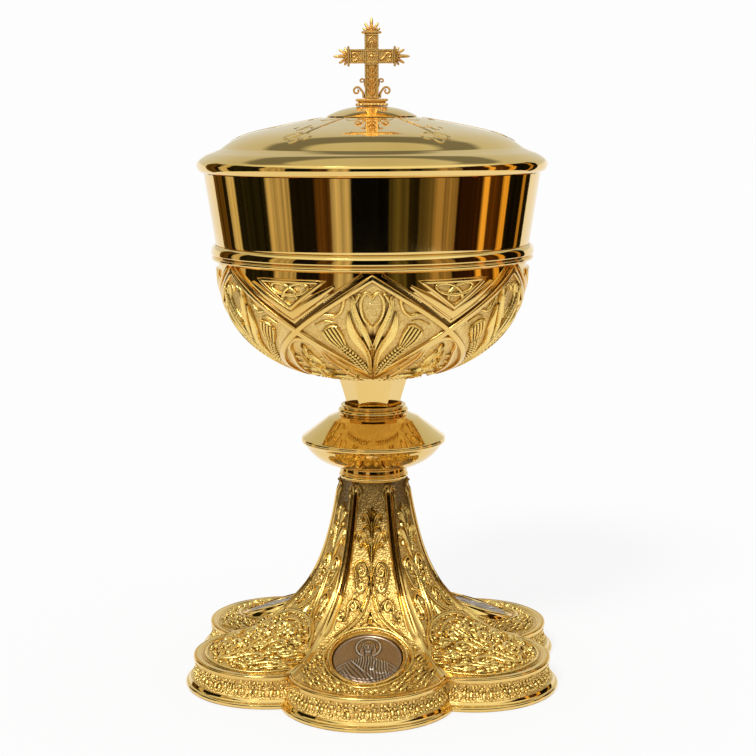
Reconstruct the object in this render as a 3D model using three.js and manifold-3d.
// Ciborium: a gilt brass altar cup with a lift-off lid, on a stem with a knop and a six-lobed foot.
// Millimetres, +Z up, the table at z = 0 and the front towards -Y.
import * as THREE from "three";
import { ParametricGeometry } from "three/addons/geometries/ParametricGeometry.js";
import { mergeVertices } from "three/addons/utils/BufferGeometryUtils.js";
import Module from "manifold-3d";

const wasm = await Module();
wasm.setup();

// Foot: a rim moulding, a gallery band on it, and the raised shell that ends in the stem.
const lobeCount = 6;
const lobeRadius = 32; // of the rim's outline
const lobeDistance = 42.1; // from the axis to the centre of a lobe
const footTurnDegrees = -3; // the foot is screwed up a little short of square with the bowl
const rimHeight = 3.3;
const rimWidth = 5;
const rimRound = [[0.5, 0], [0, 0.3], [0.1, 0.7], [0.9, 1]]; // insets, and heights as shares of the rim's
const bandHeight = 6.4;
const bandTopInset = 3.7; // from the rim's outline
const bandFootInset = 2.2;
const bandWall = 1.5;
const bandBulge = 0.2; // how far the band stands out at half its height
const shellEdgeInset = 3.2;
const shellEdgeThickness = 0.8;
const shellWall = 1.6;
const footHeight = 72.5;
const stemRadius = 11; // to the flats of the stem, at its top
const stemFlare = 5.8; // how far the stem's curve leans out before it sweeps into the lobe
const stemFlareRise = 18.3; // above the lobe's edge
const lobeSweepRadius = 24.2;
const lobeSweepRise = 4.8;
const lobingStart = 0.45; // where along the curve the hexagon begins to turn into lobes
const ridgeWidth = 2.2;
const ridgeRise = 0.6;
const ridgeSink = 0.7;
const ridgeCrown = 0.7; // share of a ridge's width that its top takes
const headPlate = 2.5; // the plate that closes the stem's top
const borderWidth = 3.3; // the flat border along the lobes' edges
const borderRise = 0.4;

// Relief cast on the foot. Paths are lists of [across, up]: shares of a panel's half width, and of the
// curve's length from the lobe's edge.
const reliefRise = 0.9;
const reliefSink = 0.6;
const reliefTolerance = 0.1; // of the small faces that are merged where relief meets its ground
const reliefStep = 0.01; // of a rib's path, over which its direction is taken
const archLeg = { path: [[0.03, 0.64], [0.16, 0.537], [0.3, 0.485], [0.67, 0.4]], width: 1.9, steps: 4 };
const voluteLine = [[0.03, 0.6], [0.3, 0.697], [0.58, 0.666], [0.47, 0.6], [0.3, 0.6]];
const volute = { path: voluteLine, width: 1.4, steps: 5 };
const treeStem = { path: [[0, 0.62], [0, 0.75], [0, 0.9]], width: 1.3, steps: 3 };
const foliageStalk = { path: [[0, 0.07], [0, 0.2], [0, 0.4]], width: 1.6, steps: 3 };
const foliageCurl = { width: 1.5, steps: 5 };
const curlStart = -0.25; // of a turn
const curlTurns = 0.9;
const curlTightness = 0.4; // lost of its radius by its end
const foliageEyes = [
  { across: 0.4, up: 0.155, acrossRadius: 0.2, upRadius: 0.05 },
  { across: 0.38, up: 0.29, acrossRadius: 0.19, upRadius: 0.04 },
];
const foliageFrame = { across: 0, up: 0.245, acrossRadius: 0.8, upRadius: 0.2, width: 1.2, steps: 12 };
const bezelFrame = { across: 0, up: 0.272, acrossRadius: 0.78, upRadius: 0.186, width: 1.2, steps: 12 };

// Medallions: an oval plate in a raised bezel on every second lobe.
const medallionCount = 3;
const medallionHalfWidth = 12.4;
const medallionHalfLength = 13.4;
const medallionDistance = 44.8; // from the axis to the middle of a medallion
const medallionThickness = 1.1;
const medallionRim = 0.9;
const medallionDish = 0.3; // how far the field lies below the rim
const bezelWidth = 1.7;
const bezelHeight = 1.7;
const bezelRound = [[0, 0.5], [0.35, 1], [0.75, 1], [1, 0.7]]; // shares of its width and of its height
const medallionSink = 1.7; // of the seat below the chord of the foot's curve
const padDepth = 1.8;
const pocketHeight = 6; // of the space that is cut free above a seat

// Stem stack, from the foot upwards.
const collarHeight = 4.1;
const collarRadius = 12.9;
const collarRound = 0.7;
const collarStep = 0.4; // how far its flat ends are narrower
const collarFillet = 0.3;
const knopRadius = 26.7;
const knopLowerHeight = 10.4;
const knopUpperHeight = 9.4;
const knopNeckRadius = 13.2;
const knopEdge = 1.9; // height of the blunt nose at the knop's widest point
const knopWall = 1.3;
const knopWallAcross = 1.7; // a sloping wall measured straight across, in walls
const knopDish = 3.6; // width of the flatter step where the knop's upper half meets its ring
const knopDishRise = 1.2;
const knopBelly = 1; // how far the lower half swells past a straight cone
const knopBellyShare = 0.55; // of the way from its nose to its end
const knopBevel = 1.3; // how far the nose draws in
const spacerWall = 1.8;
const ringHeight = 3.7;
const ringRadius = 13;
const ringTopRadius = 11.6;
const ringBeadRound = 1;
const ringBead = { middle: 0.3, half: 0.28 }; // heights as shares of the ring's
const ringUpperRound = 0.5;
const ringUpperBead = { middle: 0.83, half: 0.14 };
const ringWaist = 0.68; // share of the ring's height where its upper half starts
const ringSeatInset = 0.6;
const ringTopInset = 0.3;
const neckHeight = 10.8;
const neckTopRadius = 13.2; // to the corners
const neckFootRadius = 10.2;
const neckFillet = 0.5; // how far the fillet at its foot stands out
const neckFilletHeight = 0.6;
const neckFilletRun = 0.4;
const neckHollow = 0.1; // how far its faces curve in

// Bowl: a cast calyx with straps, a bead on its edge and the cup that drops into it.
const calyxRadius = 56.2;
const calyxHeight = 42.8;
const calyxWall = 1.5;
const bowlRoundAcross = 2.6; // exponents of the bowl's superellipse
const bowlRoundUp = 2.25;
const strapWidth = 2.8;
const strapRise = 1;
const strapSink = 0.8;
const strapCrown = 0.6; // share of a strap's width that its top takes
const strapEdgeGap = 0.2; // left between a strap and the calyx's edge
const strapSideHeight = 22.2; // of the crossings above the calyx's foot
const strapFootHeight = 3.6; // of the lowest corners

// Relief cast on the calyx. Paths are lists of [across, up]: shares of half a diamond's width in azimuth, and
// of the calyx's height.
const heartLeaf = { path: [[0.01, 0.42], [0.1, 0.53], [0.18, 0.63], [0.21, 0.79]], width: 2.6, steps: 3 };
const longLeaf = { path: [[0.28, 0.67], [0.22, 0.5], [0.06, 0.32], [0.01, 0.13]], width: 2.4, steps: 3 };
const thistle = { path: [[0.36, 0.37], [0.46, 0.46], [0.57, 0.57]], width: 5.4, steps: 2 };
const wideStrap = { path: [[0.59, 0.81], [0.99, 0.62]], width: 2.2, steps: 2 };
const triangleCorners = [[0.58, 0.915], [1.42, 0.915], [1, 0.69]];
const triangleWidth = 1.1;
const beadHeight = 5.9;
const beadRise = 2.6;
const beadRound = 0.38; // half height of its round, as a share of its height
const beadTopWall = 0.4;
const cupWall = 1.1;
const bandBaseFlare = 0.8; // the plain band starts this far outside the calyx's edge
const bandFlare = 3.1; // from the band's foot out to its shoulder
const lipFlare = 0.8; // from the shoulder out to the lip
const lipHeight = 4.3; // of the flare at the lip
const cupBandHeight = 31.4; // from the calyx's edge to the lip
const bossRadius = 9;
const bossHeight = 5;
const bossBevel = 1;
const bossMargin = 1; // of the cup's flat middle round the boss
const rodCover = 1; // metal left above the rod's blind hole

// Rod through the stem, and what holds it under the foot.
const rodRadius = 3;
const rodClearance = 0.3;
const rodTail = 2;
const washerThickness = 1.2;
const washerRadius = 6.4;
const nutHeight = 5;
const nutRadius = 5.8; // to the corners

// Lid: a spun dome with a rolled rim, a flange that drops into the cup, and the finial.
const domeHeight = 12.1;
const rimRollWidth = 8.8; // from the dome's edge to the lid's outline
const lidOverhang = 2.5; // of the lid past the cup's lip
const rimRollHeight = 5.6;
const underRollHeight = 2.9;
const underRollDepth = 2.2;
const lidWall = 1.2;
const flangeDepth = 7.7;
const flangeWall = 1.1;
const flangeClearance = 0.35;
const ledgeThickness = 1.1;
const lidBossRadius = 16.4;
const lidBossHeight = 3.6;
const lidBossRound = 2.6; // exponent of the boss's curve
const studRadius = 1.5;
const studClearance = 0.3;
const studTail = 1.2;
const studNutHeight = 2.4;
const studNutRadius = 3.2;
const studWasherRadius = 5;
const studWasherThickness = 0.8;
const plinthHalfWidth = 5.8;
const plinthHalfDepth = 3.2;
const plinthSlab = 1;
const plinthWaist = 0.6;
const plinthWaistInset = 0.8;
const plinthRoof = 0.6; // left above the stud's blind hole

// Cross.
const crossHalfWidth = 2.5;
const crossHalfDepth = 1.5;
const barProud = 0.3; // how far bars and centre panel stand out in front
const centreInset = 0.5;
const barLap = 0.1; // how far a palmette runs into its bar
const shaftHeight = 23; // from the plinth to the top bar
const armCentreHeight = 15;
const armLength = 8.3; // from the axis to an arm's end bar
const barThickness = 0.8;
const barHalfLength = 3.6;
const palmetteLength = 5.2;
const palmetteHalfDepth = 1;
const scrollRadius = 1.5;
const scrollReach = 5.4; // from the axis to a scroll's eye
const scrollRise = 2.7;
const scrollThickness = 0.9;
const smallScrollShare = 0.62; // a small scroll's size against a large one's
const smallScrollRise = 3.6; // of the small scroll's eye above the large one's
const smallScrollFoot = 0.4; // of its foot above the large one's eye
const scrollLap = 0.2; // how far a small scroll runs into the shaft

const seatGap = 0.3; // left under a piece that rests on a sloping or turned seat
const roundSteps = 36; // round the bowl and the lid
const stemSteps = 28;
const smallSteps = 16;
const ovalSteps = 20;
const footSteps = 48; // a multiple of twice the lobes, so that each cusp has a step
const skinSteps = 9; // down the foot's outside
const hollowSteps = 5; // down its inside
const seatSteps = 40; // halvings that find a place on a curve
const bowlSteps = 8;
const bowlInsideSteps = 6;
const hexagonSteps = 6;
const overrun = 1; // how far a cutting body passes the face it opens

const turn = 2 * Math.PI;
const reliefSection = [[-1, -reliefSink], [0, reliefRise], [1, -reliefSink]];

// Heights that follow from the sizes above.
const bandTop = rimHeight + bandHeight;
const lobeEdge = bandTop + shellEdgeThickness;
const collarTop = footHeight + collarHeight;
const knopMiddle = collarTop + knopLowerHeight;
const knopTop = knopMiddle + knopUpperHeight;
const ringTop = knopTop + ringHeight;
const calyxFoot = ringTop + neckHeight;
const calyxTop = calyxFoot + calyxHeight;
const lipTop = calyxTop + cupBandHeight;
const lidSeat = lipTop + seatGap;
const rimMiddle = lidSeat + underRollHeight;
const domeEdge = rimMiddle + rimRollHeight;
const domeTop = domeEdge + domeHeight;
const linerRadius = calyxRadius - calyxWall - seatGap;
const bandBaseRadius = calyxRadius + bandBaseFlare;
const bandShoulderRadius = bandBaseRadius + bandFlare;
const lipRadius = bandShoulderRadius + lipFlare;
const lidRadius = lipRadius + lidOverhang;
const domeRadius = lidRadius - rimRollWidth;
const linerFoot = calyxFoot + calyxWall + bossHeight;
const boreRadius = rodRadius + rodClearance;
const studBore = studRadius + studClearance;

const medallionAzimuths = Array.from({ length: medallionCount }, (_, i) => (turn * i) / medallionCount);
const hexagonCorner = 1 / Math.cos(Math.PI / lobeCount);

// Solids from geometries

function withoutCollapsed(index) {
  const kept = [];
  for (let i = 0; i < index.length; i += 3) {
    const [a, b, c] = [index[i], index[i + 1], index[i + 2]];
    if (a !== b && b !== c && c !== a) kept.push(a, b, c);
  }
  return kept;
}

function solid(geometry) {
  const bare = new THREE.BufferGeometry().setAttribute("position", geometry.getAttribute("position"));
  if (geometry.index) bare.setIndex(geometry.index);
  const merged = mergeVertices(bare);
  const kept = withoutCollapsed(merged.index.array);
  const made = (triangles) =>
    new wasm.Manifold(
      new wasm.Mesh({
        numProp: 3,
        vertProperties: new Float32Array(merged.attributes.position.array),
        triVerts: new Uint32Array(triangles),
      }),
    );
  const first = made(kept);
  return first.volume() < 0 ? made(kept.reverse()) : first;
}

function geometryOf(body) {
  const mesh = body.getMesh();
  const geometry = new THREE.BufferGeometry();
  geometry.setAttribute("position", new THREE.BufferAttribute(mesh.vertProperties, mesh.numProp));
  geometry.setIndex(new THREE.BufferAttribute(mesh.triVerts, 1));
  geometry.computeVertexNormals();
  return geometry;
}

const joined = (bodies) => bodies.reduce((sum, body) => sum.add(body));

// A turned solid: its section is a list of [radius, height] from axis to axis, or one that closes on itself.
function turned(section, steps = roundSteps) {
  const closed = section[0][0] === 0 ? section : [...section, section[0]];
  const points = closed.map(([radius, height]) => new THREE.Vector2(radius, height));
  return solid(new THREE.LatheGeometry(points, steps).rotateX(Math.PI / 2));
}

// A solid whose section changes round the axis: sectionAt(azimuth) lists its [radius, height] points,
// as many at each azimuth.
function lofted(sectionAt, steps = footSteps) {
  const sections = Array.from({ length: steps }, (_, i) => sectionAt((turn * i) / steps));
  const count = sections[0].length;
  const place = (u, v, target) => {
    const step = Math.round(u * steps) % steps;
    const azimuth = (turn * step) / steps;
    const [radius, height] = sections[step][Math.round(v * count) % count];
    target.set(radius * Math.sin(azimuth), -radius * Math.cos(azimuth), height);
  };
  return solid(new ParametricGeometry(place, steps, count));
}

// A rib with closed ends: cornerAt(u, corner) places its section's corners, endAt(u) the point at each end.
function rib(cornerAt, corners, endAt, steps) {
  const place = (u, v, target) => {
    const corner = Math.round(v * corners) % corners;
    target.copy(u === 0 || u === 1 ? endAt(u) : cornerAt(u, corner));
  };
  return solid(new ParametricGeometry(place, steps, corners));
}

// A low rib with pointed ends along a smooth line on a surface: placeAt(across, up) gives a point of the
// surface and its normal there.
function reliefRib(placeAt, { path, width, steps }) {
  const line = new THREE.SplineCurve(path.map(([across, up]) => new THREE.Vector2(across, up)));
  const cornerAt = (u, corner) => reliefCorner(placeAt, line, u, reliefSection[corner], width);
  const endAt = (u) => {
    const { x, y } = line.getPoint(u);
    return placeAt(x, y).point;
  };
  return rib(cornerAt, reliefSection.length, endAt, steps);
}

// The same section carried round an ellipse on a surface.
function reliefHoop(placeAt, { across, up, acrossRadius, upRadius, width, steps }) {
  const line = new THREE.EllipseCurve(across, up, acrossRadius, upRadius);
  const corners = reliefSection.length;
  const place = (u, v, target) => {
    const share = (Math.round(u * steps) % steps) / steps;
    const section = reliefSection[Math.round(v * corners) % corners];
    target.copy(reliefCorner(placeAt, line, share, section, width));
  };
  return solid(new ParametricGeometry(place, steps, corners));
}

function reliefCorner(placeAt, line, u, [side, lift], width) {
  const on = (share) => {
    const { x, y } = line.getPoint(share);
    return placeAt(x, y);
  };
  const { point, normal } = on(u);
  const along = on(Math.min(1, u + reliefStep)).point.sub(on(Math.max(0, u - reliefStep)).point);
  const sideways = new THREE.Vector3().crossVectors(normal, along).normalize();
  return point.addScaledVector(sideways, (side * width) / 2).addScaledVector(normal, lift);
}

const mirrored = (shape) => ({ ...shape, path: shape.path.map(([across, up]) => [-across, up]) });

function box(halfX, halfY, low, high, x = 0) {
  const geometry = new THREE.BoxGeometry(2 * halfX, 2 * halfY, high - low);
  return solid(geometry.translate(x, 0, (low + high) / 2));
}

const bore = (radius, low, high) =>
  turned([[0, low], [radius, low], [radius, high], [0, high]], smallSteps);

const tube = (inner, outer, low, high, steps = smallSteps) =>
  turned([[inner, low], [outer, low], [outer, high], [inner, high]], steps);

// Points of an elliptic arc round [radius, height], with angles in quarter turns from straight out.
function arc(centre, acrossRadius, upRadius, from, to, steps) {
  return Array.from({ length: steps + 1 }, (_, i) => {
    const angle = ((from + ((to - from) * i) / steps) * Math.PI) / 2;
    return [centre[0] + acrossRadius * Math.cos(angle), centre[1] + upRadius * Math.sin(angle)];
  });
}

// Outlines, as a radius for each azimuth

// Azimuth from the middle of the nearest lobe or flat.
function fromMiddle(azimuth, count) {
  const share = turn / count;
  return azimuth - share * Math.round(azimuth / share);
}

function lobeOutline(azimuth, inset) {
  const angle = fromMiddle(azimuth, lobeCount);
  const across = lobeDistance * Math.sin(angle);
  return lobeDistance * Math.cos(angle) + Math.sqrt((lobeRadius - inset) ** 2 - across ** 2);
}

const hexagonOutline = (azimuth) => 1 / Math.cos(fromMiddle(azimuth, lobeCount));

const ovalOutline = (halfWidth, halfLength) => (azimuth, inset) =>
  1 / Math.hypot(Math.sin(azimuth) / (halfWidth - inset), Math.cos(azimuth) / (halfLength - inset));

// A moulding that runs round an outline: its section is a list of [inset, height].
const moulding = (outline, section, steps) =>
  lofted((azimuth) => section.map(([inset, height]) => [outline(azimuth, inset), height]), steps);

// Foot surface

const footCurve = new THREE.CubicBezierCurve(
  new THREE.Vector2(stemRadius, footHeight),
  new THREE.Vector2(stemRadius + stemFlare, lobeEdge + stemFlareRise),
  new THREE.Vector2(lobeSweepRadius, lobeEdge + lobeSweepRise),
  new THREE.Vector2(lobeOutline(0, shellEdgeInset), lobeEdge),
);

// The curve runs along the middle of a lobe. Round the axis it is a hexagon at the top and lobed below.
function footRadius(azimuth, t, point) {
  const lobing = THREE.MathUtils.smoothstep(t, lobingStart, 1);
  const lobed = lobeOutline(azimuth, shellEdgeInset) / lobeOutline(0, shellEdgeInset);
  return point.x * THREE.MathUtils.lerp(hexagonOutline(azimuth), lobed, lobing);
}

function footPoint(azimuth, t) {
  const point = footCurve.getPoint(t);
  const radius = footRadius(azimuth, t, point);
  return new THREE.Vector3(radius * Math.sin(azimuth), -radius * Math.cos(azimuth), point.y);
}

// The section of the shell's underside, a wall's thickness inside the curve and never below the band's top.
function underside(azimuth, steps) {
  const plate = footHeight - headPlate;
  return Array.from({ length: steps + 1 }, (_, i) => {
    const t = i / steps;
    const point = footCurve.getPoint(t);
    const along = footCurve.getTangent(t);
    const height = THREE.MathUtils.clamp(point.y - shellWall * along.x, bandTop, plate);
    return [footRadius(azimuth, t, point) + shellWall * along.y, height];
  });
}

// The foot's skin down to its border, the raised border, and the flat underside.
function footBody(azimuth, steps) {
  const borderStart = footCurve.getUtoTmapping(1 - borderWidth / footCurve.getLength());
  const skin = Array.from({ length: steps + 1 }, (_, i) => {
    const t = (borderStart * i) / steps;
    const point = footCurve.getPoint(t);
    return [footRadius(azimuth, t, point), point.y];
  });
  const [startRadius, startHeight] = skin[steps];
  const edge = lobeOutline(azimuth, shellEdgeInset);
  const border = [[startRadius, startHeight + borderRise], [edge, lobeEdge + borderRise]];
  return [[0, footHeight], ...skin, ...border, [edge, bandTop], [0, bandTop]];
}

function footHollow(azimuth, steps) {
  const seat = lobeOutline(azimuth, bandTopInset + bandWall + seatGap);
  const inner = underside(azimuth, steps).map(([radius, height]) => [Math.min(radius, seat), height]);
  return [[0, footHeight - headPlate], ...inner, [seat, 0], [0, 0]];
}

// A rounded rib that follows the ridge between two lobes, from the stem's top to the cusp of the edge.
function footRidge(azimuth) {
  const steps = 9;
  const corners = [[-1, -ridgeSink], [-ridgeCrown, ridgeRise], [ridgeCrown, ridgeRise], [1, -ridgeSink]];
  const [from, to] = [0.02, 0.985]; // along the foot's curve
  const at = (u) => THREE.MathUtils.lerp(from, to, u);
  const cornerAt = (u, corner) => {
    const point = footPoint(azimuth, at(u));
    const along = footCurve.getTangent(at(u));
    const outward = new THREE.Vector3(Math.sin(azimuth), -Math.cos(azimuth), 0);
    const across = new THREE.Vector3(Math.cos(azimuth), Math.sin(azimuth), 0);
    const normal = outward.multiplyScalar(-along.y).add(new THREE.Vector3(0, 0, along.x));
    const [side, lift] = corners[corner];
    return point.addScaledVector(across, (side * ridgeWidth) / 2).addScaledVector(normal, lift);
  };
  return rib(cornerAt, corners.length, (u) => footPoint(azimuth, at(u)), steps);
}

// Where along the foot's curve its distance from the axis is the one given.
function footParameter(distance) {
  let [low, high] = [0, 1];
  for (let i = 0; i < seatSteps; i += 1) {
    const middle = (low + high) / 2;
    if (footCurve.getPoint(middle).x < distance) low = middle;
    else high = middle;
  }
  return low;
}

// The flat seat of a medallion: a chord of the foot's curve, as long as the medallion in its bezel.
function medallionSeat() {
  const reach = medallionHalfLength + bezelWidth;
  const top = footCurve.getPoint(footParameter(medallionDistance - reach));
  const bottom = footCurve.getPoint(footParameter(medallionDistance + reach));
  const slope = Math.atan2(top.y - bottom.y, bottom.x - top.x);
  const middle = { distance: (top.x + bottom.x) / 2, height: (top.y + bottom.y) / 2 };
  const [inward, down] = [medallionSink * Math.sin(slope), medallionSink * Math.cos(slope)];
  return { distance: middle.distance - inward, height: middle.height - down, slope };
}

// Moves what is built flat round the origin, its length along Y, onto a medallion's seat.
function seatMatrix(azimuth) {
  const seat = medallionSeat();
  const place = new THREE.Matrix4().makeTranslation(0, -seat.distance, seat.height);
  const tilt = new THREE.Matrix4().makeRotationX(seat.slope);
  return new THREE.Matrix4().makeRotationZ(azimuth).multiply(place).multiply(tilt);
}

function seated(body, azimuth) {
  return solid(geometryOf(body).applyMatrix4(seatMatrix(azimuth)));
}

// A solid disc with an oval outline, its section a list of [inset, height] from its underside to its top.
function ovalDisc(halfWidth, halfLength, section) {
  const outline = ovalOutline(halfWidth, halfLength);
  const [low, high] = [section[0][1], section[section.length - 1][1]];
  const edge = (azimuth) => section.map(([inset, height]) => [outline(azimuth, inset), height]);
  return lofted((azimuth) => [[0, low], ...edge(azimuth), [0, high]], ovalSteps);
}

function seatDisc(azimuth, margin, low, high) {
  const across = medallionHalfWidth + bezelWidth + margin;
  const along = medallionHalfLength + bezelWidth + margin;
  return seated(ovalDisc(across, along, [[0, low], [0, high]]), azimuth);
}

const medallionPad = (azimuth) => seatDisc(azimuth, seatGap, -padDepth, 0);
const medallionPocket = (azimuth) => seatDisc(azimuth, seatGap, 0, pocketHeight);

function medallion(azimuth) {
  const rimInset = seatGap + medallionRim;
  const section = [
    [seatGap, seatGap],
    [seatGap, medallionThickness],
    [rimInset, medallionThickness],
    [rimInset + medallionDish, medallionThickness - medallionDish],
  ];
  return seated(ovalDisc(medallionHalfWidth, medallionHalfLength, section), azimuth);
}

function bezel(azimuth) {
  const outline = ovalOutline(medallionHalfWidth + bezelWidth, medallionHalfLength + bezelWidth);
  const round = bezelRound.map(([across, up]) => [across * bezelWidth, up * bezelHeight]);
  const section = [[0, seatGap], ...round, [bezelWidth, seatGap]];
  return seated(moulding(outline, section, ovalSteps), azimuth);
}

// A place on the panel at an azimuth: across is a share of its half width, up of the curve's length.
const panelPlace = (azimuth) => (across, up) => {
  const t = footCurve.getUtoTmapping(1 - up);
  const along = footCurve.getTangent(t);
  const corner = footPoint(Math.PI / lobeCount, t);
  const half = Math.hypot(corner.x, corner.y) * Math.sin(Math.PI / lobeCount);
  const angle = Math.asin((across * half) / footRadius(0, t, footCurve.getPoint(t)));
  const outward = new THREE.Vector3(Math.sin(azimuth + angle), -Math.cos(azimuth + angle), 0);
  const normal = outward.multiplyScalar(-along.y).add(new THREE.Vector3(0, 0, along.x));
  return { point: footPoint(azimuth + angle, t), normal };
};

// A curl that winds in round its eye, from its foot at the start angle.
function curlPath({ across, up, acrossRadius, upRadius }) {
  return Array.from({ length: foliageCurl.steps + 1 }, (_, i) => {
    const share = i / foliageCurl.steps;
    const angle = turn * (curlStart + curlTurns * share);
    const radius = 1 - curlTightness * share;
    return [across + acrossRadius * radius * Math.cos(angle), up + upRadius * radius * Math.sin(angle)];
  });
}

const bothSides = (placeAt, shapes) =>
  shapes.flatMap((shape) => [reliefRib(placeAt, shape), reliefRib(placeAt, mirrored(shape))]);

// The tree, volutes and arch up a panel, and what its lobe carries: a framed field of foliage, or the ring
// round a medallion's bezel.
function panelRelief(index) {
  const placeAt = panelPlace((turn * index) / lobeCount);
  const stemwork = [reliefRib(placeAt, treeStem), ...bothSides(placeAt, [archLeg, volute])];
  if (index % 2 === 0) return [...stemwork, reliefHoop(placeAt, bezelFrame)];
  const curls = foliageEyes.map((eye) => ({ ...foliageCurl, path: curlPath(eye) }));
  const stalk = reliefRib(placeAt, foliageStalk);
  return [...stemwork, reliefHoop(placeAt, foliageFrame), stalk, ...bothSides(placeAt, curls)];
}

function footShell() {
  const body = lofted((azimuth) => footBody(azimuth, skinSteps));
  const hollow = lofted((azimuth) => footHollow(azimuth, hollowSteps));
  const panels = Array.from({ length: lobeCount }, (_, i) => i);
  const ridges = panels.map((i) => footRidge((turn * (i + 0.5)) / lobeCount));
  const skin = joined([body, ...ridges, ...panels.flatMap(panelRelief)]).subtract(hollow);
  const seats = skin.add(joined(medallionAzimuths.map(medallionPad)));
  return seats
    .subtract(joined(medallionAzimuths.map(medallionPocket)))
    .subtract(bore(boreRadius, footHeight - headPlate - overrun, footHeight + overrun))
    .simplify(reliefTolerance);
}

function footBand() {
  const section = [
    [bandFootInset, rimHeight],
    [bandTopInset - bandBulge, rimHeight + bandHeight / 2],
    [bandTopInset, bandTop],
    [bandTopInset + bandWall, bandTop],
    [bandTopInset + bandWall, rimHeight],
  ];
  return moulding(lobeOutline, section, footSteps);
}

function footRim() {
  const round = rimRound.map(([inset, up]) => [inset, up * rimHeight]);
  const section = [...round, [rimWidth, rimHeight], [rimWidth, 0]];
  return moulding(lobeOutline, section, footSteps);
}

// Stem stack

function footCollar() {
  const centre = [collarRadius - collarRound, footHeight + collarHeight / 2];
  const section = [
    [boreRadius, footHeight],
    [collarRadius - collarStep, footHeight],
    ...arc(centre, collarRound, collarHeight / 2 - collarFillet, -1, 1, 4),
    [collarRadius - collarStep, collarTop],
    [boreRadius, collarTop],
  ];
  return turned(section, stemSteps);
}

// Half of the knop, from its nose to its end, with one point of its own between the two.
function knopHalf(base, end, between) {
  const up = Math.sign(end - base);
  const inner = knopRadius - knopWallAcross * knopWall;
  const section = [
    [inner, base],
    [knopRadius, base],
    [knopRadius - knopBevel / 4, base + (up * knopEdge) / 2],
    [knopRadius - knopBevel, base + up * knopEdge],
    between,
    [knopNeckRadius, end],
    [boreRadius, end],
    [boreRadius, end - up * knopWall],
    [boreRadius + spacerWall + seatGap, end - up * knopWall],
    [knopNeckRadius, end - up * (knopWall + knopDishRise)],
    [inner - knopBevel, base + up * knopEdge],
  ];
  return turned(section, stemSteps);
}

function knopLower() {
  const radius = THREE.MathUtils.lerp(knopRadius - knopBevel, knopNeckRadius, knopBellyShare);
  const height = THREE.MathUtils.lerp(knopMiddle - knopEdge, collarTop, knopBellyShare);
  return knopHalf(knopMiddle, collarTop, [radius + knopBelly, height - knopBelly]);
}

const knopUpper = () =>
  knopHalf(knopMiddle, knopTop, [knopNeckRadius + knopDish, knopTop - knopDishRise]);
const knopSpacer = () => tube(boreRadius, boreRadius + spacerWall, collarTop + knopWall, knopTop - knopWall);

function knopRing() {
  const bead = (radius, round, shares, steps) => {
    const centre = [radius, knopTop + shares.middle * ringHeight];
    return arc(centre, round, shares.half * ringHeight, -1, 1, steps);
  };
  const section = [
    [boreRadius, knopTop],
    [ringRadius - ringSeatInset, knopTop],
    ...bead(ringRadius - ringBeadRound, ringBeadRound, ringBead, 4),
    [ringTopRadius, knopTop + ringWaist * ringHeight],
    ...bead(ringTopRadius, ringUpperRound, ringUpperBead, 2),
    [ringTopRadius - ringTopInset, ringTop],
    [boreRadius, ringTop],
  ];
  return turned(section, stemSteps);
}

function stemNeck() {
  const flare = (radius, height) => (azimuth) => [
    (radius / hexagonCorner) * hexagonOutline(azimuth),
    height,
  ];
  const points = [
    flare(neckFootRadius + neckFillet, ringTop),
    flare(neckFootRadius + neckFillet, ringTop + neckFilletHeight),
    flare(neckFootRadius, ringTop + neckFilletHeight + neckFilletRun),
    flare((neckFootRadius + neckTopRadius) / 2 - neckHollow, ringTop + neckHeight / 2),
    flare(neckTopRadius, calyxFoot),
  ];
  const inside = (height) => () => [boreRadius, height];
  const section = [inside(ringTop), ...points, inside(calyxFoot)];
  return lofted((azimuth) => section.map((point) => point(azimuth)), 4 * hexagonSteps);
}

// Bowl surfaces

// A point of the bowl's superellipse: share runs from 0 at its foot to 1 at its edge.
function bowlProfile(radius, foot, share) {
  const angle = (share * Math.PI) / 2;
  const across = radius * Math.sin(angle) ** (2 / bowlRoundAcross);
  return [across, calyxTop - (calyxTop - foot) * Math.max(0, Math.cos(angle)) ** (2 / bowlRoundUp)];
}

// The bowl's section from the radius of its flat middle to its edge.
function bowlSection(radius, foot, flatRadius, steps) {
  const from = (2 / Math.PI) * Math.asin((flatRadius / radius) ** (bowlRoundAcross / 2));
  return Array.from({ length: steps + 1 }, (_, i) =>
    bowlProfile(radius, foot, from + ((1 - from) * i) / steps),
  );
}

// Where up the calyx's profile its height above the calyx's foot is the one given.
function bowlShare(rise) {
  const left = Math.max(0, (calyxHeight - rise) / calyxHeight);
  return (2 / Math.PI) * Math.acos(left ** (bowlRoundUp / 2));
}

// A strap that zigzags round the calyx between two heights, once up and once down for each lobe of the foot.
function zigzagStrap(lowRise, highRise) {
  const legs = 2 * lobeCount;
  const stepsPerLeg = 4;
  const corners = [[-1, -strapSink], [-strapCrown, strapRise], [strapCrown, strapRise], [1, -strapSink]];
  const spread = strapWidth / 2;
  const sectionAt = (azimuth) => {
    const leg = Math.abs(fromMiddle(azimuth, lobeCount)) / (turn / legs);
    const rise = THREE.MathUtils.lerp(highRise, lowRise, leg);
    return corners.map(([side, lift]) => {
      const share = bowlShare(rise + side * spread);
      const [radius, height] = bowlProfile(calyxRadius, calyxFoot, share);
      const steep = Math.min(1, share);
      return [radius + lift * steep, height - lift * (1 - steep)];
    });
  };
  return lofted(sectionAt, legs * stepsPerLeg);
}

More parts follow.
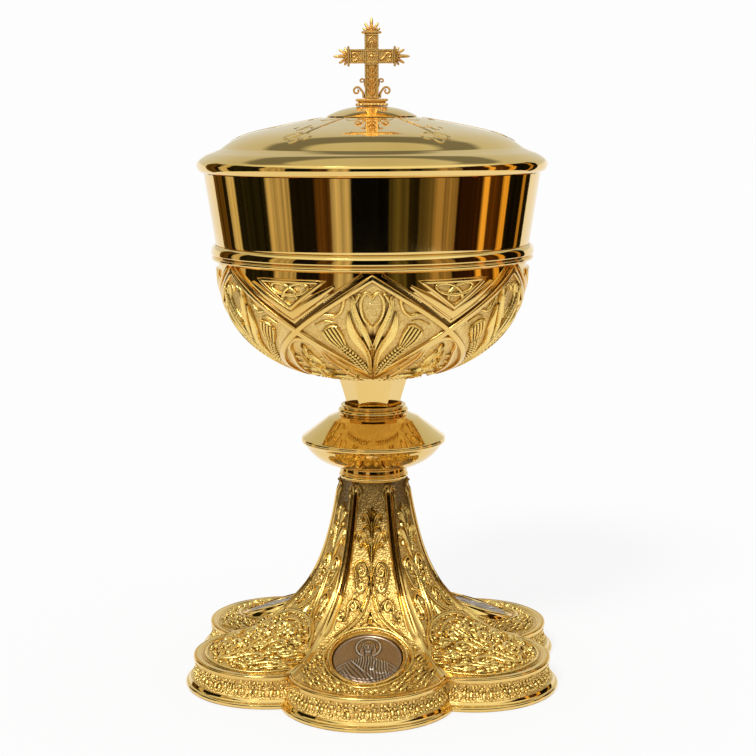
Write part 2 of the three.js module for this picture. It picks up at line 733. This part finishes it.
// A place on the calyx, its foot's sector turned to an azimuth: across is a share of half a sector, up a
// share of the calyx's height.
const calyxPlace = (azimuth) => (across, up) => {
  const share = bowlShare(up * calyxHeight);
  const [radius, height] = bowlProfile(calyxRadius, calyxFoot, share);
  const [ahead, aheadHeight] = bowlProfile(calyxRadius, calyxFoot, share + reliefStep);
  const angle = azimuth + (across * Math.PI) / lobeCount;
  const outward = new THREE.Vector3(Math.sin(angle), -Math.cos(angle), 0);
  const point = outward.clone().multiplyScalar(radius).setZ(height);
  const normal = outward.multiplyScalar(aheadHeight - height).setZ(radius - ahead).normalize();
  return { point, normal };
};

function triangleRibs(placeAt) {
  return triangleCorners.map((corner, i) => {
    const next = triangleCorners[(i + 1) % triangleCorners.length];
    return reliefRib(placeAt, { path: [corner, next], width: triangleWidth, steps: 2 });
  });
}

function calyxRelief(index) {
  const placeAt = calyxPlace((turn * index) / lobeCount);
  const motifs = bothSides(placeAt, [heartLeaf, longLeaf, thistle, wideStrap]);
  return [...motifs, ...triangleRibs(placeAt)];
}

function calyx() {
  const outer = bowlSection(calyxRadius, calyxFoot, neckTopRadius, bowlSteps);
  const body = turned([[0, calyxFoot], ...outer, [0, calyxTop]]);
  const innerRadius = calyxRadius - calyxWall;
  const innerFoot = calyxFoot + calyxWall;
  const inner = bowlSection(innerRadius, innerFoot, bossRadius, bowlInsideSteps);
  const open = calyxTop + overrun;
  const hollow = turned([[0, inner[0][1]], ...inner, [innerRadius, open], [0, open]]);
  const high = calyxHeight - strapWidth / 2 - strapEdgeGap;
  const upper = zigzagStrap(strapSideHeight, high);
  const lower = zigzagStrap(strapSideHeight, strapFootHeight);
  const relief = Array.from({ length: lobeCount }, (_, i) => calyxRelief(i)).flat();
  return joined([body, upper, lower, ...relief])
    .subtract(hollow)
    .subtract(bore(boreRadius, calyxFoot - overrun, innerFoot + overrun))
    .simplify(reliefTolerance);
}

function calyxBead() {
  const top = calyxTop + beadHeight;
  const clear = linerRadius + seatGap;
  const topClear = bandBaseRadius + seatGap;
  return turned([
    [clear, calyxTop],
    [calyxRadius, calyxTop],
    ...arc([calyxRadius, calyxTop + beadHeight / 2], beadRise, beadHeight * beadRound, -1, 1, 5),
    [topClear + beadTopWall, top],
    [topClear, top],
  ]);
}

function cupLiner() {
  const bandBase = calyxTop + beadHeight;
  const shoulder = lipTop - lipHeight;
  const flat = bossRadius + bossMargin;
  const outer = bowlSection(linerRadius, linerFoot, flat, bowlInsideSteps);
  const inner = bowlSection(linerRadius - cupWall, linerFoot + cupWall, flat, bowlInsideSteps).reverse();
  const wall = [[bandBaseRadius, bandBase], [bandShoulderRadius, shoulder], [lipRadius, lipTop]];
  const inside = wall.map(([radius, height]) => [radius - cupWall, height]).reverse();
  return turned([[0, outer[0][1]], ...outer, ...wall, ...inside, ...inner, [0, inner[inner.length - 1][1]]]);
}

function cupBoss() {
  const low = bowlSection(calyxRadius - calyxWall, calyxFoot + calyxWall, bossRadius, 1)[0][1];
  const high = bowlSection(linerRadius, linerFoot, bossRadius + bossMargin, 1)[0][1];
  const blind = high - rodCover;
  const section = [
    [0, blind],
    [boreRadius, blind],
    [boreRadius, low],
    [bossRadius - bossBevel, low],
    [bossRadius, low + bossBevel],
    [bossRadius, high],
    [0, high],
  ];
  return turned(section, smallSteps);
}

// Rod, washer and nut

const washerTop = footHeight - headPlate;
const nutTop = washerTop - washerThickness;
const rodFoot = nutTop - nutHeight - rodTail;
const rodHead = linerFoot - rodCover - seatGap;

const tieRod = () => bore(rodRadius, rodFoot, rodHead);
const footWasher = () => tube(boreRadius, washerRadius, nutTop, washerTop);

function hexagonNut(radius, hole, low, high) {
  return turned([[0, low], [radius, low], [radius, high], [0, high]], hexagonSteps).subtract(
    bore(hole, low - overrun, high + overrun),
  );
}

const footNut = () => hexagonNut(nutRadius, boreRadius, nutTop - nutHeight, nutTop);

// Lid

// The dome's outline as shares of its radius and height, from the middle to the edge.
const domeCurve = new THREE.SplineCurve(
  [[0, 1], [0.31, 0.9], [0.614, 0.652], [0.811, 0.445], [0.921, 0.24], [1, 0]].map(
    ([across, up]) => new THREE.Vector2(across, up),
  ),
);

function domePoint(t, inset) {
  const point = domeCurve.getPoint(t);
  return [point.x * (domeRadius - inset), domeEdge + point.y * domeHeight - inset];
}

// Height of the dome's outside at a radius.
function domeHeightAt(radius) {
  let [low, high] = [0, 1];
  for (let i = 0; i < seatSteps; i += 1) {
    const middle = (low + high) / 2;
    if (domePoint(middle, 0)[0] < radius) low = middle;
    else high = middle;
  }
  return domePoint(low, 0)[1];
}

// The lid's outline from the middle of the dome to the end of the rolled rim, moved in by an inset.
function lidOutline(inset) {
  const domeSteps = 7;
  const dome = Array.from({ length: domeSteps + 1 }, (_, i) => domePoint(i / domeSteps, inset));
  const across = lidRadius - domeRadius - inset;
  const roll = arc([domeRadius, rimMiddle], across, rimRollHeight - inset, 1, 0, 4);
  const centre = [lidRadius - underRollDepth, rimMiddle];
  const under = arc(centre, underRollDepth - inset, underRollHeight - inset, 0, -1, 2).slice(1);
  return [...dome, ...roll.slice(inset > 0 ? 0 : 1), ...under];
}

function lidDome() {
  const outer = lidOutline(0).slice(1);
  const inner = lidOutline(lidWall).slice(1).reverse();
  return turned([[studBore, domeTop], ...outer, ...inner, [studBore, domeTop - lidWall]]);
}

function lidFlange() {
  const foot = lidSeat - flangeDepth;
  const top = lidSeat + ledgeThickness;
  const share = (foot - (calyxTop + beadHeight)) / (lipTop - lipHeight - calyxTop - beadHeight);
  const cupInside = THREE.MathUtils.lerp(bandBaseRadius, bandShoulderRadius, share) - cupWall;
  const outer = cupInside - flangeClearance;
  const ledge = lidRadius - underRollDepth - seatGap;
  return turned([
    [outer - flangeWall, foot],
    [outer, foot],
    [outer, lidSeat],
    [ledge, lidSeat],
    [ledge, top],
    [outer - flangeWall, top],
  ]);
}

const lidBossFoot = domeHeightAt(lidBossRadius) + seatGap;
const lidBossTop = lidBossFoot + lidBossHeight;

function lidBoss() {
  const steps = 6;
  const top = Array.from({ length: steps }, (_, i) => {
    const share = 1 - (i / steps) * (1 - studBore / lidBossRadius);
    return [share * lidBossRadius, lidBossFoot + lidBossHeight * (1 - share ** lidBossRound)];
  });
  const middle = lidBossRadius / 2;
  const section = [
    [studBore, domeTop + seatGap],
    [middle, domeHeightAt(middle) + seatGap],
    ...top,
    [studBore, lidBossTop],
  ];
  return turned(section, stemSteps);
}

const plinthLayers = 2 * plinthSlab + plinthWaist;
const plinthTop = lidBossTop + plinthLayers;

function finialPlinth() {
  const lower = box(plinthHalfWidth, plinthHalfDepth, lidBossTop, lidBossTop + plinthSlab);
  const narrow = plinthWaistInset;
  const waist = box(plinthHalfWidth - narrow, plinthHalfDepth - narrow, lidBossTop, plinthTop);
  const upper = box(plinthHalfWidth, plinthHalfDepth, plinthTop - plinthSlab, plinthTop);
  return joined([lower, waist, upper]).subtract(
    bore(studBore, lidBossTop - overrun, plinthTop - plinthRoof),
  );
}

const studWasherTop = domeHeightAt(studWasherRadius) - lidWall - seatGap / 2;
const studNutTop = studWasherTop - studWasherThickness;
const finialWasher = () => tube(studBore, studWasherRadius, studNutTop, studWasherTop);
const finialNut = () => hexagonNut(studNutRadius, studBore, studNutTop - studNutHeight, studNutTop);
const finialStud = () =>
  bore(studRadius, studNutTop - studNutHeight - studTail, plinthTop - plinthRoof - seatGap);

// Cross

const armCentre = plinthTop + armCentreHeight;
const shaftTop = plinthTop + shaftHeight;

// Five pointed leaves in a fan, drawn upwards from the origin.
function palmette() {
  const leaves = [[-69, 0.63], [-37, 0.76], [0, 1], [37, 0.76], [69, 0.63]];
  const valley = 0.36;
  const shape = new THREE.Shape();
  shape.moveTo(-crossHalfWidth, 0);
  leaves.forEach(([degrees, share], i) => {
    const angle = THREE.MathUtils.degToRad(degrees);
    const tip = share * palmetteLength;
    const blunt = 0.3;
    const [x, y] = [tip * Math.sin(angle), tip * Math.cos(angle)];
    shape.lineTo(x - blunt * Math.cos(angle), y + blunt * Math.sin(angle));
    shape.lineTo(x + blunt * Math.cos(angle), y - blunt * Math.sin(angle));
    if (i < leaves.length - 1) {
      const between = THREE.MathUtils.degToRad((degrees + leaves[i + 1][0]) / 2);
      const notch = valley * palmetteLength;
      shape.lineTo(notch * Math.sin(between), notch * Math.cos(between));
    }
  });
  shape.lineTo(crossHalfWidth, 0);
  const depth = 2 * palmetteHalfDepth;
  const geometry = new THREE.ExtrudeGeometry(shape, { depth, bevelEnabled: false });
  return geometry.translate(0, 0, -palmetteHalfDepth).rotateX(Math.PI / 2);
}

const palmetteAt = (x, z, quarterTurns) =>
  solid(palmette().rotateY((quarterTurns * Math.PI) / 2).translate(x, 0, z));

// A C-scroll that springs from a foot point, rises over its eye and curls in. Side is 1 for right, -1 for left.
function scroll(foot, eye, radius, side) {
  const curl = [[-0.85, 0.35], [0, 1], [0.72, 0.7], [1, 0], [0.68, -0.7], [0, -0.9], [-0.45, -0.55]];
  const points = [foot, ...curl.map(([x, z]) => [eye[0] + radius * x, eye[1] + radius * z])];
  const path = new THREE.CatmullRomCurve3(points.map(([x, z]) => new THREE.Vector3(side * x, 0, z)));
  const [deep, thick] = [palmetteHalfDepth, (scrollThickness * radius) / scrollRadius / 2];
  const shape = new THREE.Shape();
  shape.moveTo(-deep, -thick);
  shape.lineTo(deep, -thick);
  shape.lineTo(deep, thick);
  shape.lineTo(-deep, thick);
  return solid(new THREE.ExtrudeGeometry(shape, { steps: 14, extrudePath: path }));
}

function finialCross() {
  const arms = box(armLength, crossHalfDepth, armCentre - crossHalfWidth, armCentre + crossHalfWidth);
  const shaft = box(crossHalfWidth, crossHalfDepth, plinthTop, shaftTop);
  const barDepth = crossHalfDepth + barProud;
  const centreHalf = crossHalfWidth - centreInset;
  const topBar = box(barHalfLength, barDepth, shaftTop, shaftTop + barThickness);
  const armBar = (side) =>
    box(barThickness / 2, barDepth, armCentre - barHalfLength, armCentre + barHalfLength, side * armLength);
  const centre = box(centreHalf, barDepth, armCentre - centreHalf, armCentre + centreHalf);
  const armEnd = armLength + barThickness / 2 - barLap;
  const eye = [scrollReach, plinthTop + scrollRise];
  const smallFoot = [crossHalfWidth - scrollLap, eye[1] + smallScrollFoot];
  const smallEye = [crossHalfWidth + scrollRadius * smallScrollShare, eye[1] + smallScrollRise];
  const scrolls = [-1, 1].flatMap((side) => [
    scroll([crossHalfWidth + seatGap, plinthTop + seatGap], eye, scrollRadius, side),
    scroll(smallFoot, smallEye, scrollRadius * smallScrollShare, side),
  ]);
  return joined([
    shaft,
    arms,
    topBar,
    armBar(1),
    armBar(-1),
    centre,
    palmetteAt(0, shaftTop + barThickness - barLap, 0),
    palmetteAt(armEnd, armCentre, 1),
    palmetteAt(-armEnd, armCentre, -1),
    ...scrolls,
  ]);
}

// Materials and the assembly

const polishedGilt = { color: 0xe3b84e, roughness: 0.12, metalness: 1 };
const castGilt = { color: 0xd9a93f, roughness: 0.38, metalness: 1 };
const coppery = { color: 0xc98a3c, roughness: 0.42, metalness: 1 };
const silver = { color: 0xb5b2ad, roughness: 0.35, metalness: 1 };
const steel = { color: 0x9a9a98, roughness: 0.35, metalness: 1 };

function piece(name, body, finish) {
  const mesh = new THREE.Mesh(geometryOf(body), new THREE.MeshStandardMaterial(finish));
  mesh.name = name;
  return mesh;
}

const foot = new THREE.Group();
foot.rotation.z = THREE.MathUtils.degToRad(footTurnDegrees);
foot.add(
  piece("foot_rim", footRim(), polishedGilt),
  piece("foot_gallery_band", footBand(), castGilt),
  piece("foot_shell", footShell(), castGilt),
);
medallionAzimuths.forEach((azimuth, i) => {
  const place = ["front", "right", "left"][i];
  foot.add(piece("medallion_" + place, medallion(azimuth), silver));
  foot.add(piece("bezel_" + place, bezel(azimuth), polishedGilt));
});

const stem = new THREE.Group();
stem.add(
  piece("foot_collar", footCollar(), polishedGilt),
  piece("knop_lower", knopLower(), polishedGilt),
  piece("knop_upper", knopUpper(), polishedGilt),
  piece("knop_spacer", knopSpacer(), steel),
  piece("knop_ring", knopRing(), polishedGilt),
  piece("stem_neck", stemNeck(), polishedGilt),
  piece("tie_rod", tieRod(), steel),
  piece("foot_washer", footWasher(), steel),
  piece("foot_nut", footNut(), steel),
);

const bowl = new THREE.Group();
bowl.add(
  piece("calyx", calyx(), castGilt),
  piece("calyx_bead", calyxBead(), polishedGilt),
  piece("cup_liner", cupLiner(), polishedGilt),
  piece("cup_boss", cupBoss(), polishedGilt),
);

const lid = new THREE.Group();
lid.add(
  piece("lid_dome", lidDome(), polishedGilt),
  piece("lid_flange", lidFlange(), polishedGilt),
  piece("lid_boss", lidBoss(), polishedGilt),
  piece("finial_plinth", finialPlinth(), coppery),
  piece("finial_cross", finialCross(), coppery),
  piece("finial_stud", finialStud(), steel),
  piece("finial_washer", finialWasher(), steel),
  piece("finial_nut", finialNut(), steel),
);

const ciborium = new THREE.Group();
ciborium.add(foot, stem, bowl, lid);
export default ciborium;
